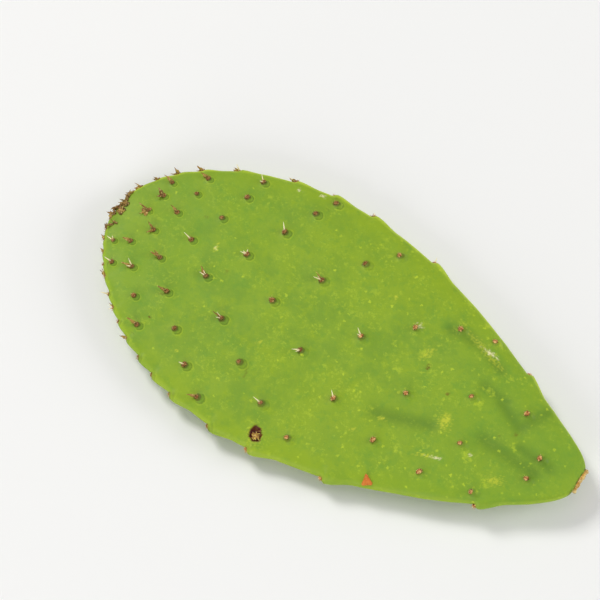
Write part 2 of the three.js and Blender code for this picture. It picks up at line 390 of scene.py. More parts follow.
def write_points(obj, points):
    obj.data.vertices.foreach_set("co", np.ascontiguousarray(points, dtype=float).ravel())
    obj.data.update()


def write_values(obj, name, values):
    values = np.ascontiguousarray(values, dtype=np.float32)
    kind, field = ("FLOAT", "value") if values.ndim == 1 else ("FLOAT_VECTOR", "vector")
    layer = obj.data.attributes.new(name, kind, "POINT")
    layer.data.foreach_set(field, values.ravel())


def smooth(obj):
    pick(obj)
    bpy.ops.object.shade_smooth()


def set_mode(mode):
    bpy.ops.object.mode_set(mode=mode)


def cut_level(heights):
    """Divides the mesh in hand along level planes."""
    set_mode("EDIT")
    for z in heights:
        bpy.ops.mesh.select_all(action="SELECT")
        bpy.ops.mesh.bisect(plane_co=(0, 0, z), plane_no=(0, 0, 1))
    set_mode("OBJECT")


def shake(points, scale, start=(0.0, 0.0, 0.0)):
    """Noise at each point, from about -1 to 1."""
    return np.array([noise.noise(Vector(p)) for p in points * np.array(scale) + np.array(start)])


def join(pieces, name):
    """Joins copies into one mesh whose object lies unturned at the origin."""
    deselect_all()
    for piece in pieces:
        piece.select_set(True)
    bpy.context.view_layer.objects.active = pieces[0]
    bpy.ops.object.transform_apply(location=True, rotation=True, scale=True)
    if len(pieces) > 1:
        bpy.ops.object.join()
    made = bpy.context.object
    made.name = made.data.name = name
    return made


def copy_to(model, basis, origin, scale, tint):
    """A copy of a modelled piece with its own mesh, its Z along basis z, in metres."""
    copy = model.copy()
    copy.data = model.data.copy()
    bpy.context.collection.objects.link(copy)
    x, y, z = (Vector(unit(np.asarray(axis, float))) for axis in basis)
    turn = Matrix((x, y, z)).transposed().to_4x4()
    size = Matrix.Diagonal((*[s * MM for s in scale], 1.0))
    copy.matrix_world = Matrix.Translation(Vector(origin + CENTRE) * MM) @ turn @ size
    write_values(copy, "tint", np.full(len(copy.data.vertices), tint))
    return copy


def join_copies(copies, name, slot, matter, *models):
    """Makes one piece of the copies, of dry matter, and clears their models away."""
    for model in models:
        bpy.data.objects.remove(model)
    finish_piece(join(copies, name), dry_growth(matter))


def finish_piece(obj, material):
    points = read_points(obj)
    points[:, 2] = np.maximum(points[:, 2], 0)
    write_points(obj, points)
    obj.data.materials.clear()
    obj.data.materials.append(material)
    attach(obj, "root")
    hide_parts("cactus_pad")


# ---- materials ----


def paint(hex_code):
    """An sRGB hex value as the linear colour that a shader takes."""
    parts = [int(hex_code[i : i + 2], 16) / 255 for i in (1, 3, 5)]
    return (*[p / 12.92 if p <= 0.04045 else ((p + 0.055) / 1.055) ** 2.4 for p in parts], 1.0)


class Coat:
    """A material under way: its nodes, and the colour that has been laid on so far."""

    def __init__(self, name, colour):
        self.material = bpy.data.materials.new(name)
        self.material.use_nodes = True
        self.material.node_tree.nodes.clear()
        self.where = self.add("TexCoord").outputs["Object"]
        self.colour = colour

    def add(self, kind, inputs=None, **settings):
        """Adds a node with its settings; an input is a value or the socket that feeds it."""
        tree = self.material.node_tree
        made = tree.nodes.new("ShaderNode" + kind)
        for name, value in settings.items():
            setattr(made, name, value)
        for socket, value in (inputs or {}).items():
            if isinstance(value, bpy.types.NodeSocket):
                tree.links.new(value, made.inputs[socket])
            else:
                made.inputs[socket].default_value = value
        return made

    def math(self, operation, first, *others):
        for other in others:
            first = self.add("Math", {0: first, 1: other}, operation=operation).outputs[0]
        return first

    def times(self, *factors):
        return self.math("MULTIPLY", *factors)

    def plus(self, *parts):
        return self.math("ADD", *parts)

    def vector_math(self, operation, *inputs):
        return self.add("VectorMath", dict(enumerate(inputs)), operation=operation).outputs

    def reading(self, name, output="Fac"):
        """An attribute of the mesh."""
        return self.add("Attribute", attribute_name=name).outputs[output]

    def band(self, value, low, high, to_low=0.0, to_high=1.0):
        """Turns a value from low..high into to_low..to_high, eased at both ends."""
        limits = {"From Min": low, "From Max": high, "To Min": to_low, "To Max": to_high}
        made = self.add("MapRange", {"Value": value, **limits}, interpolation_type="SMOOTHSTEP")
        return made.outputs["Result"]

    def grain(self, size_mm, detail=2.0, rough=0.5, output="Fac"):
        """Noise whose blotches are about size_mm across."""
        size = {"Vector": self.where, "Scale": 1 / (size_mm * MM * 2)}
        return self.add("TexNoise", {**size, "Detail": detail, "Roughness": rough}).outputs[output]

    def blotches(self, size_mm, detail, rough, *limits):
        """Grain seen through a band."""
        return self.band(self.grain(size_mm, detail, rough), *limits)

    def shaken(self, place, size_mm, reach, middle):
        """A place that noise moves level, by reach times its distance from the middle value."""
        moved = self.vector_math("SUBTRACT", self.grain(size_mm, output="Color"), (middle,) * 3)[0]
        return self.vector_math("MULTIPLY_ADD", moved, (reach, reach, 0), place)[0]

    def mixed(self, amount, first, second):
        return self.add("Mix", {0: amount, 6: first, 7: second}, data_type="RGBA").outputs[2]

    def lay(self, hex_code, *amounts):
        """Lays a colour over what is there, as far as the product of the amounts."""
        self.colour = self.mixed(self.times(*amounts), self.colour, paint(hex_code))

    def bump(self, height, strength, depth_mm):
        inputs = {"Strength": strength, "Distance": depth_mm * MM, "Height": height}
        return self.add("Bump", inputs).outputs[0]

    def finished(self, inputs):
        shader = self.add("BsdfPrincipled", {"Base Color": self.colour, **inputs})
        self.add("OutputMaterial", {"Surface": shader.outputs[0]})
        return self.material


def shade_blister(skin, look, along_pad):
    """Paints light and shade on each tubercle from its own place: painted shade in a deeper green on the
    side away from the tip, which faces away from the key light, a dark painted shadow line where the
    blister meets the flesh, a thin painted highlight just past that line, and a thin brown ring round the
    wool, partly its own colour and partly painted shade at its foot. It returns the blister's own swelling."""
    near = skin.times(skin.reading("near_seat"), skin.band(along_pad, -0.08, 0.09, 1.0, 0.3))
    near_tip = skin.times(near, skin.band(along_pad, 0.03, -0.06, 0.1, 1.0))
    place = skin.shaken(skin.reading("seat_at", "Vector"), 0.8, 0.28, 0.5)

    def distance(forward, reach):
        moved = skin.vector_math("ADD", place, (-forward, 0, 0))[0]
        return skin.times(skin.vector_math("LENGTH", moved)["Value"], 1 / reach)

    # the side away from the tip, which faces away from the key light
    behind = skin.band(skin.add("SeparateXYZ", {0: place}).outputs["X"], 0.3, -0.3)
    # painted shade on that side of each tubercle
    skin.lay(look.lee_shade_green, skin.band(distance(0.0, 0.7), 1.1, 0.2), behind, near, 0.72)
    blister = distance(-BLISTER_BACK, BLISTER_R)
    # a painted shadow line where the blister meets the flesh
    lip = (skin.band(blister, 0.72, 0.94), skin.band(blister, 1.16, 1.0))
    skin.lay(look.shade_green, *lip, behind, near_tip, 0.36)
    # a thin painted highlight just past the shadow line
    highlight_ring = (skin.band(blister, 1.1, 1.24), skin.band(blister, 1.5, 1.3))
    skin.lay(look.mottle_and_highlight_green, *highlight_ring, behind, near_tip, 0.28)
    # a ring round the wool, partly its own darker colour and partly painted shade at its foot
    skin.lay(look.ring_colour_and_shade, skin.band(distance(0.24, 0.54), 1.15, 0.8), near, 0.8)
    return skin.times(skin.band(blister, 1.05, 0.6), near_tip)


# mottling of the green: size in mm, detail and roughness of its noise, the noise where a blotch
# starts and where it is full, its strength and its colour
MOTTLES = (
    (9.0, 4.0, 0.6, 0.38, 0.62, 1.0, "light_green"),
    (30.0, 2.0, 0.5, 0.42, 0.66, 0.5, "sunny_green"),
    (3.2, 4.0, 0.65, 0.5, 0.72, 0.7, "sunny_green"),
    (5.5, 4.0, 0.65, 0.52, 0.74, 0.6, "neck_green"),
)
FLECK_GAP_MM = 4.4


def waxy_skin(look):
    """Living cactus epidermis under a thin natural wax: green flesh colour with paler and deeper
    blotches, small yellow-green flecks, and a soft satin sheen that the wax gives. Painted shade darkens the
    creases and the side of each tubercle away from the light, and painted highlights brighten the far rim's
    crest and the edge of each blister."""
    skin = Coat("waxy_cactus_skin", paint(look.deep_green))
    for size, detail, rough, start, full, strength, name in MOTTLES:
        skin.lay(getattr(look, name), skin.blotches(size, detail, rough, start, full), strength)
    patchy = skin.blotches(7.5, 3.0, 0.5, 0.4, 0.62, 0.15, 1.0)
    skin.lay(look.mottle_and_highlight_green, skin.blotches(1.15, 4.0, 0.75, 0.5, 0.68), patchy, 0.55)
    skin.lay(look.neck_green, skin.blotches(1.7, 4.0, 0.7, 0.5, 0.7), 0.45)

    # the margins are a yellower green, the flesh is a deeper green near the two ends, and painted shade
    # darkens the creases
    skin.lay(look.sunny_green, skin.reading("margin"), skin.blotches(6, 4.0, 0.6, 0.36, 0.6), 0.7)
    along_pad = skin.add("SeparateXYZ", {0: skin.where}).outputs["X"]
    neck = skin.band(along_pad, 0.02, 0.13, 0.0, 0.42)
    young = skin.band(along_pad, -0.03, -0.14, 0.0, 0.34)
    ends = skin.plus(neck, young)
    skin.lay(look.neck_green, ends, skin.blotches(14, 3.0, 0.5, 0.3, 0.6, 0.3, 1.0))
    # painted shade in the creases
    skin.lay(look.crease_shade_green, skin.reading("crease_shade"), 0.55)
    blister = shade_blister(skin, look, along_pad)
    # the rim's crest in yellow-green, partly its own colour and partly a painted highlight
    skin.lay(look.mottle_and_highlight_green, skin.reading("crest_highlight"), skin.blotches(8, 3.0, 0.5, 0.3, 0.55, 0.35, 0.95))

    # flecks 1 to 2 mm across, thicker towards the base, and a few larger patches
    place = skin.shaken(skin.where, 0.65, 2.4 * MM, 0.0)
    cells = skin.add("TexVoronoi", {"Vector": place, "Scale": 1 / (FLECK_GAP_MM * MM)}).outputs
    ragged = skin.times(skin.grain(0.5), 0.28)
    dots = skin.band(skin.plus(cells["Distance"], ragged), 0.38, 0.22)
    draws = skin.add("SeparateColor", {0: cells["Color"]}).outputs
    chosen = skin.math("GREATER_THAN", draws[0], skin.band(along_pad, -0.1, 0.09, 0.8, 0.35))
    skin.lay(look.fleck, dots, chosen, skin.band(draws[1], 0.0, 1.0, 0.1, 0.9))
    patches = skin.blotches(4.0, 5.0, 0.68, 0.58, 0.7)
    skin.lay(look.fleck, patches, skin.band(along_pad, -0.06, 0.07, 0.12, 0.55))

    # blemishes laid out as attributes, the scab of the wound, and a brown seam round the scar, partly its own
    # colour and partly painted shade where the scar meets the skin
    worn = skin.blotches(0.7, 3.0, 0.65, 0.38, 0.56, 0.12, 1.0)
    for name in ("yellowed", "cream", "browned"):
        skin.lay(getattr(look, name), skin.reading(name), worn)
    scab = skin.blotches(1.3, 3.0, 0.6, 0.46, 0.62)
    scab = skin.mixed(scab, paint(look.wound), paint(look.browned))
    skin.colour = skin.mixed(skin.reading("pit"), skin.colour, scab)
    # the seam round the scar, partly its own colour and partly painted shade
    skin.lay(look.ring_colour_and_shade, skin.band(along_pad, 0.1508, 0.1517, 0.0, 0.85), worn)

    pores = skin.times(skin.grain(0.35, 2.0, 0.6), 0.22)
    dents = skin.grain(2.6, 3.0, 0.55)
    height = skin.plus(pores, dents, skin.times(blister, 0.6))
    return skin.finished(
        {
            "Roughness": skin.blotches(7, 3.0, 0.5, 0.3, 0.7, 0.5, 0.64),
            "IOR": 1.42,
            "Specular IOR Level": 0.32,
            "Subsurface Weight": 0.08,
            "Subsurface Radius": (0.8, 1.0, 0.15),
            "Subsurface Scale": 1.2 * MM,
            "Coat Weight": 0.04,
            "Coat Roughness": 0.4,
            "Normal": skin.bump(height, 0.6, 0.32),
        }
    )


# dead plant matter: its colours at the root, in the middle and at the tip, the colour that some
# copies lean to, that of the pale flecks, which are partly painted highlights, then the roughness and the
# size of the spots in mm
DRY = {
    "areole_wool_felt": ("#502C0E", "#BA6C30", "#EEBC78", "#6E4418", "#E0A868", 0.9, 0.5),
    "glochid_bristle": ("#6B401A", "#CC9048", "#F8DFA4", "#AA6C30", "#F0D8A0", 0.5, 0.5),
    "horny_spine": ("#A0703C", "#FFF0BC", "#FFF8D8", "#EFD48C", "#FFF6D8", 0.42, 0.9),
    "dried_leaf": ("#443A12", "#AE8A3A", "#94602A", "#6E4A1A", "#E6CC80", 0.75, 0.8),
    "dead_skin": ("#A84E14", "#D8701E", "#E08A2C", "#C0561A", "#EDB04C", 0.7, 0.9),
    "base_cork": ("#5E3812", "#E0A840", "#FFE89C", "#A86A20", "#FFF0B0", 0.85, 1.2),
    "wound_fibre": ("#8A5220", "#E4C44C", "#F4E27C", "#A0642A", "#F6EC98", 0.7, 0.8),
}


def dry_growth(name):
    """Dead plant matter, matt, streaked and flecked with a paler colour, the pale flecks partly painted
    highlights. Its colour runs from root to tip, and each copy leans by its own tint towards another."""
    root, middle, tip, other, pale, rough, spot_mm = DRY[name]
    dry = Coat(name, paint(root))
    reach = dry.reading("reach")
    dry.lay(middle, dry.band(reach, 0.0, 0.45))
    dry.lay(tip, dry.band(reach, 0.5, 1.0))
    tint = dry.times(dry.reading("tint"), 0.75)
    spots = dry.times(dry.grain(spot_mm, 3.0, 0.6), 0.9)
    dry.lay(other, dry.band(dry.plus(tint, spots), 0.5, 1.2, 0.0, 0.9))
    # pale flecks, partly painted highlights
    fine = dry.grain(0.6 * spot_mm, 3.0, 0.7)
    dry.lay(pale, dry.band(fine, 0.5, 0.66, 0.0, 0.75))
    return dry.finished({"Roughness": rough, "IOR": 1.5, "Normal": dry.bump(fine, 0.8, 0.15)})


# ---- settings ----


def colour_prop(name, description, default):
    return bpy.props.StringProperty(name=name, description=description, default=default)


class CactusLook(bpy.types.PropertyGroup):
    """Colours of the pad, as sRGB hex values."""

    light_green: colour_prop("Light green", "Paler blotches of the skin", "#8CAB2B")
    deep_green: colour_prop("Deep green", "Deeper blotches of the skin", "#7DA02C")
    sunny_green: colour_prop("Sunny green", "Wide yellowish areas", "#92AE23")
    neck_green: colour_prop("Neck green", "Cooler green near the two ends", "#719E31")
    # painted shade in the creases
    crease_shade_green: colour_prop("Crease green", "Green in the creases", "#567D26")
    # painted shade on the side of each tubercle away from the light
    lee_shade_green: colour_prop("Lee green", "Deep green behind each areole", "#4C6E1C")
    shade_green: colour_prop("Shade green", "Darkest line round each tubercle", "#33480C")
    # also the painted highlight along the far rim's crest and just past each blister
    mottle_and_highlight_green: colour_prop("Rim green", "Yellow-green of the rim's crest and of fine mottles", "#B6CC38")
    fleck: colour_prop("Fleck", "Small pale flecks", "#BBD034")
    # a darker ring round each areole and a seam round the scar: partly their own colour and partly painted
    # shade at their foot
    ring_colour_and_shade: colour_prop("Halo", "Ring round each areole", "#585418")
    yellowed: colour_prop("Yellowed", "Yellowed spots", "#C9CF3A")
    cream: colour_prop("Cream", "Healed cream scars", "#EFE8B8")
    browned: colour_prop("Browned", "Dry brown spots", "#683410")
    wound: colour_prop("Wound", "Floor of the old wound", "#561E12")


def length_prop(name, description, default_mm):
    return bpy.props.FloatProperty(
        name=name, description=description, default=default_mm * MM, unit="LENGTH"
    )


class CactusSizes(bpy.types.PropertyGroup):
    """Sizes that a grower would see change from pad to pad."""

    spine_length: length_prop("Spine length", "Length of a usual spine", 5.4)
    spine_radius: length_prop("Spine radius", "Radius at the root of a spine", 0.56)
    leaf_length: length_prop("Leaf length", "Length of a usual dried leaf", 6.6)
    leaf_radius: length_prop("Leaf radius", "Radius of a dried leaf", 1.05)
    bristles: bpy.props.IntProperty(
        name="Bristles", description="Fine bristles in a tuft", default=16, min=4, max=40
    )


# ---- the skin ----

# marks of the upper face: x, y, half length, half width, turn in degrees and strength
MARKS = {
    "cream": (
        (72.5, 42.6, 3.6, 0.95, -8, 0.9),
        (79, -25.2, 3, 0.6, 18, 0.8),
        (94, -14, 0.7, 0.7, 0, 1),
        (-89, 11, 0.5, 1.1, 10, 0.6),
        (31.5, 34.5, 1.5, 1, -30, 0.8),
        (-58, 73, 1.2, 1, 0, 0.8),
        (-71, 68, 1.2, 0.9, 0, 0.7),
    ),
    "yellowed": (
        (70, 42, 13, 1.8, -18, 0.5),
        (73.5, -27.2, 4.5, 0.9, 20, 0.8),
        (72.5, -5, 2.6, 4, 20, 0.8),
        (43.5, 23.5, 2, 3.6, -20, 0.6),
        (112, -19, 4, 2.2, 20, 0.6),
        (-37, -22, 1.2, 1.2, 0, 0.6),
        (-72, -51, 1.2, 0.9, 0, 0.8),
        (43, -22, 1.8, 1, 20, 0.8),
        (33, -36, 1.4, 1, 20, 0.6),
        (-89, 11, 1, 2, 10, 0.9),
        (11, 42, 0.9, 0.9, 0, 0.9),
        (-9.6, -68.2, 3.6, 3.4, 0, 0.55),
    ),
    "browned": (
        (108, 9, 1, 1.2, 0, 0.45),
        (101, 4, 0.6, 0.6, 0, 0.5),
        (-96, -43, 0.7, 0.6, 0, 0.95),
        (-98, -28, 0.9, 0.6, 30, 0.5),
        (48, 17, 0.8, 1.5, 10, 0.9),
        (65, 9, 0.9, 0.9, 0, 0.6),
        (-33, -40.5, 0.6, 2.6, 15, 0.35),
        (-104, 24, 0.9, 0.9, 0, 0.35),
        (-76, 3, 0.9, 0.9, 0, 0.3),
    ),
}


SKIN_AROUND, SKIN_ALONG = 256, 386
UPPER_SHARE = 160 / 256  # the part of the segments that goes to the upper face
NORMAL_STEP = 0.004  # along and round the skin, to find its slope
NEAR_TIP = -0.9995  # the skin faces straight along the pad from here on
RIM_FROM = 0.9  # the part of the half width where the rim starts
CREST = 0.45  # height of the fine crest along the rim between the teeth


def evened(angle):
    """Spreads rings or segments more evenly over a face than the poles of a sphere do."""
    return angle + 0.15 * np.sin(2 * angle)


def skin_ball():
    """A ball of quads, with the place of each point along the pad, from -1 to 1, and round it."""
    skin = add_primitive("uv_sphere", segments=SKIN_AROUND, ring_count=SKIN_ALONG, radius=1.0)
    skin.name = skin.data.name = "pad_skin_surface"
    ball = read_points(skin)
    c = -np.cos(evened(np.arccos(np.clip(-ball[:, 2], -1, 1))))
    angle = np.mod(np.arctan2(ball[:, 1], ball[:, 0]) + 1e-6, 2 * math.pi)
    turn = 2 * math.pi * UPPER_SHARE
    upper = evened(np.clip(angle / UPPER_SHARE / 2, 0, math.pi))
    lower = math.pi + evened((angle - turn) / (1 - UPPER_SHARE) / 2)
    return skin, c, np.where(angle <= turn + 1e-5, upper, lower)


def skin_at(c, angle):
    v = np.cos(angle)
    return skin_place(c, v, np.sign(np.sin(angle)) * bulge(v))


def skin_normals(points, c, angle):
    """Unit normals of the smooth skin, pointing out of it."""
    behind = np.clip(c - NORMAL_STEP, -0.9999, None)
    ahead = np.clip(c + NORMAL_STEP, -0.9990, BASE_AT)
    inner = np.clip(c, NEAR_TIP, None)
    along_skin = skin_at(ahead, angle) - skin_at(behind, angle)
    round_skin = skin_at(inner, angle + NORMAL_STEP) - skin_at(inner, angle - NORMAL_STEP)
    normals = unit(np.cross(round_skin, along_skin))
    outwards = points - np.stack((points[:, 0], sway(c), mid_height(c, 0 * c)), -1)
    facing = np.einsum("ij,ij->i", normals, outwards)
    normals = np.where(facing[:, None] < 0, -normals, normals)
    normals[c < NEAR_TIP] = (-1, 0, 0)
    return normals


def blemishes(points, upper):
    """How strongly each kind of mark shows at each point."""
    kinds = {}
    for kind, marks in MARKS.items():
        kinds[kind] = np.zeros(len(points))
        for mx, my, length, width, turn, strength in marks:
            dx, dy = points[:, 0] - mx, points[:, 1] - my
            ragged = 1 + 0.5 * np.sin(3.1 * dx + 1.7 * dy) * np.sin(2.3 * dy - dx)
            forward, aside = turned(dx, dy, -turn)
            far = np.hypot(forward / length, aside / width) * ragged
            spot = strength * ease((1.35 - far) / 0.7) * upper
            kinds[kind] = np.maximum(kinds[kind], spot)
    return kinds


def build_skin(look, seats):
    skin, c, angle = skin_ball()
    # beyond the cut the rings close as the flat end under the cork
    inward = np.where(c > BASE_AT, np.arccos(c) / math.acos(BASE_AT), 1.0)
    c = np.minimum(c, BASE_AT)
    points = skin_at(c, angle)
    normals = skin_normals(points, c, angle)
    height, values = relief(points, normals, seats)
    height += swell(points) * np.clip((points[:, 2] - 0.5) / 3, 0, 1)

    v = np.cos(angle)
    side_on = bulge(v) * half_thick(c)
    at_rim = np.abs(v) > RIM_FROM
    height += CREST * np.exp(-((side_on / 1.5) ** 2)) * at_rim * np.clip((0.97 - c) / 0.1, 0, 1)
    # the crest's colour, full along the far edge and 0.3 along the near edge: partly its own colour and
    # partly a painted highlight
    values["crest_highlight"] = ease((3.1 - side_on) / 1.3) * at_rim * np.where(v > 0, 1, 0.3)
    values["margin"] = ease((np.abs(v) - 0.78) / 0.16)
    values.update(blemishes(points, normals[:, 2] > UPPER))

    points = points + normals * height[:, None]
    points[:, 2] = np.maximum(points[:, 2], 0.0)
    end = inward < 1
    middle = np.array((points[end, 0].mean(), sway(BASE_AT), mid_height(BASE_AT, 0.0)))
    points[end] = middle + (points[end] - middle) * inward[end][:, None]
    points[end, 0] += 0.5 * (1 - inward[end] ** 2)
    write_points(skin, (points + CENTRE) * MM)
    for name, value in values.items():
        write_values(skin, name, value)
    smooth(skin)
    finish_piece(skin, waxy_skin(look))


# ---- what grows on the skin ----


def rooted(seat, seats):
    """The place of a seat's cushion on top of its mound."""
    point = seat.point + seat.tipward * seat.forward
    height, _ = relief(point[None, :], seat.out[None, :], seats)
    return point + seat.out * (height[0] - 0.05)


def leaning(seat, lift, turn):
    way = seat.tipward * math.cos(turn) + seat.across * math.sin(turn)
    return unit(way * math.cos(lift) + seat.out * math.sin(lift))


def clear_axis(seat, root, length, radius, lift, turn):
    """The way a spine or leaf points, laid lower where it would reach the floor."""
    angle = lift
    axis = leaning(seat, angle, turn)
    while root[2] + length * axis[2] < FLOOR_GAP and angle > 0.06:
        angle -= 0.06
        axis = leaning(seat, angle, turn)
    if min(root[2] + length * axis[2], root[2] - radius) < FLOOR_GAP:
        return None
    return axis


def basis_of(axis, up, spin=0.0):
    x = unit(up - axis * np.dot(up, axis))
    y = np.cross(axis, x)
    return (x * math.cos(spin) + y * math.sin(spin), y * math.cos(spin) - x * math.sin(spin), axis)


WOOL_SHADES = (0.35, 0.05, 0.85, 0.15, 0.6, 0.0, 0.95)  # one for each lump, from dark to pale
GOLDEN_TURN = 2.4  # radians from one lump to the next
FULL_TURN = 6.28
TIP_ZONE, MIDDLE_ZONE = -95.0, 20.0  # where the chances of spines and leaves change
SPINY = (0.4, 0.55, 0.15)  # chance of a spine near the tip, in the middle and towards the base
LEAFY = (0.7, 0.15, 0.0)  # the same of a dried leaf


def cushion_model():
    """A tight little cushion of wool: lumps pressed together, some dark and some pale."""
    rng = random.Random(SEED + 2)
    lumps = []
    for i, shade in enumerate(WOOL_SHADES):
        lump = add_primitive("ico_sphere", subdivisions=2, radius=1.0)
        points = read_points(lump)
        rough = shake(points, 1.7, (5.0 * i, 0, 1))
        # each lump has its own tone of wool and is paler towards its top, a painted highlight
        write_values(lump, "reach", np.clip(shade + 0.35 * points[:, 2] + 0.3 * rough, 0, 1))
        write_points(lump, points * (1 + 0.6 * rough)[:, None])
        away, turn = 0.2 if i == 0 else rng.uniform(0.42, 0.62), GOLDEN_TURN * i
        size = rng.uniform(0.4, 0.55)
        lump.location = (away * math.cos(turn), away * math.sin(turn), rng.uniform(-0.1, 0.3))
        lump.scale = (size, size * rng.uniform(0.7, 1.1), size * rng.uniform(0.8, 1.2))
        smooth(lump)
        lumps.append(lump)
    return join(lumps, "cushion_model")


def bristle_model(count):
    """A tuft of fine bristles, as slender three-sided spikes, one unit high."""
    rng = random.Random(SEED)
    spikes = []
    for _ in range(count):
        spike = add_cone(3, 0.14, 0.04)
        tall = rng.uniform(0.55, 1.05)
        around, lean = rng.uniform(0, 2 * math.pi), rng.uniform(0.05, 0.85)
        away = rng.uniform(0.0, 0.85)
        points = read_points(spike)
        write_values(spike, "reach", points[:, 2] + 0.5)
        points[:, 2] = (points[:, 2] + 0.5) * tall
        write_points(spike, points)
        spike.rotation_euler = (0, lean, around)
        spike.location = (away * math.cos(around), away * math.sin(around), 0)
        spikes.append(spike)
    return join(spikes, "bristle_model")


def taper_model(sides, rings, outline, bend, wrinkle=0.0, crumple=0.0):
    """A closed taper one unit long, from a cone divided along its length, bent and crumpled."""
    model = add_cone(sides, 1.0, 0.04)
    cut_level([-0.5 + i / rings for i in range(1, rings)])
    points = read_points(model)
    t = np.clip(points[:, 2] + 0.5, 0, 1)
    around = np.arctan2(points[:, 1], points[:, 0])
    has_side = np.hypot(points[:, 0], points[:, 1]) > 1e-4
    radius = outline(t) * (1 + wrinkle * np.sin(3 * around + 5 * t)) * has_side
    points = np.stack((radius * np.cos(around), radius * np.sin(around), t), -1)
    points[:, 0] += bend * t * t * 6
    for axis in range(2 if crumple else 0):
        points[:, axis] += crumple * shake(points, (0.9, 0.9, 3.4), (0, 0, 7 * axis))
    write_points(model, points)
    write_values(model, "reach", t)
    smooth(model)
    return model


def build_areoles(sizes, seats):
    model = cushion_model()
    tuft = bristle_model(sizes.bristles)
    cushions, tufts = [], []
    for seat in seats:
        root = rooted(seat, seats)
        if root[2] < 0.7 and seat.side < 0:
            continue
        r = AREOLE_R * (0.46 + 0.36 * seat.size) * seat.draw(12, 0.9, 1.2)
        up = unit(seat.out + 0.5 * seat.tipward)
        basis = basis_of(up, seat.tipward, seat.draw(11, 0, FULL_TURN))
        tall = min(0.85 * r, 0.5 * seat.clear)
        tint = seat.draw(13, 0, 0.4) + 0.6 * (seat.point[0] < -10)
        cushions.append(copy_to(model, basis, root, (1.05 * r, 0.95 * r, tall), tint))
        if tall > 0.6:
            tufts.append(copy_to(tuft, basis, root, (r, r, seat.draw(14, 1.33, 2.47)), tint))
    join_copies(cushions, "areole_cushions", "areole_wool", "areole_wool_felt", model)
    join_copies(tufts, "areole_bristles", "areole_wool", "glochid_bristle", tuft)


def chance(x, chances):
    return chances[0 if x < TIP_ZONE else 1 if x < MIDDLE_ZONE else 2]


def spine_outline(t):
    return (1 - t) ** 0.8 * 0.97 + 0.03


def build_spines(sizes, seats):
    model = taper_model(6, 5, spine_outline, bend=0.02)
    length, radius = sizes.spine_length / MM, sizes.spine_radius / MM
    spines = []
    for seat in seats:
        if seat.draw(5) >= chance(seat.point[0], SPINY):
            continue
        root = rooted(seat, seats)
        for k in range(1 + (seat.draw(21) > 0.45) + (seat.draw(22) > 0.65)):
            reach = length * seat.draw(6 + 20 * k, 0.75, 1.25) * (1 if k == 0 else 0.6)
            lift = seat.draw(7 + 20 * k, 0.35, 0.85)
            turn = seat.draw(8 + 20 * k, -1.3, 1.3)
            axis = clear_axis(seat, root, reach, radius, lift, turn)
            if axis is None:
                continue
            basis = basis_of(axis, seat.out, seat.draw(9 + 20 * k, 0, FULL_TURN))
            size = (radius, radius, reach)
            spines.append(copy_to(model, basis, root, size, seat.draw(10 + k, 0, 0.6)))
    join_copies(spines, "spines", "spine", "horny_spine", model)


LEAF_FULL = 0.2  # a leaf is widest at this part of its length
LEAF_KINDS = ((0.08, 0.2, 0.5), (0.22, 0.3, 0.7), (-0.1, 0.25, 0.8))  # bend, wrinkle and crumple
# dry flakes that cling to the upper face: x, y, two radii and a turn in degrees; the first is a
# bright piece of dead skin, and the other is like the leaves
FLAKES = (
    (55.0, -55.4, 2.9, 2.4, 125),
    (-134.5, 8.3, 2.5, 2.1, 60),
)
LITTER = 15  # dead leaves heaped on the rim of the tip
LITTER_START, LITTER_SPAN = -0.17, 0.29  # where they lie, in radians of the outline


def leaf_outline(t):
    rise = 0.75 + 0.25 * t / LEAF_FULL
    past = np.clip(t - LEAF_FULL, 0, 1) / (1 - LEAF_FULL)
    return np.where(t < LEAF_FULL, rise, np.clip(1 - 0.92 * past**1.25, 0, 1)) + 0.02


def flake_model():
    """A ragged flake of dead skin, one unit in radius and curled at one side."""
    model = add_primitive("ico_sphere", subdivisions=4, radius=1.0)
    points = read_points(model)
    around = np.arctan2(points[:, 1], points[:, 0])
    ragged = 1 + 0.28 * np.cos(3 * around) + 0.08 * np.cos(6 * around) + 0.04 * np.sin(13 * around + 1)
    rough = shake(points, 2.6)
    points[:, :2] *= ragged[:, None]
    points[:, 2] = 0.09 * points[:, 2] + 0.16 * rough + 0.22 * np.clip(points[:, 0], 0, 2) ** 2
    write_points(model, points)
    write_values(model, "reach", np.clip(0.55 + 0.7 * rough, 0, 1))
    smooth(model)
    return model


def lay_flakes(seats):
    model = flake_model()
    flakes = []
    for k, (x, y, long, short, turn) in enumerate(FLAKES):
        seat = face_frame(x, y, 1, 950 + k)
        height, _ = relief(seat.point[None, :], seat.out[None, :], seats)
        root = seat.point + seat.out * (height[0] + 0.35)
        basis = basis_of(seat.out, -seat.tipward, math.radians(turn))
        flakes.append(copy_to(model, basis, root, (long, short, 2.0), 0.4))
    bpy.data.objects.remove(model)
    return flakes


def litter_seats():
    """Places along the rim of the tip, a little way in from its edge."""
    seats = []
    for k in range(LITTER):
        theta = LITTER_START + LITTER_SPAN * draw(k, 61)
        inset = 1.3 + 4.6 * draw(k, 62) ** 1.5
        c = -math.cos(theta)
        x = TIP_X + HALF_LENGTH * (1 + c) + inset
        y = sway(c) + math.copysign(half_width(c), theta)
        seats.append(face_frame(x, y, 1, 900 + k))
    return seats


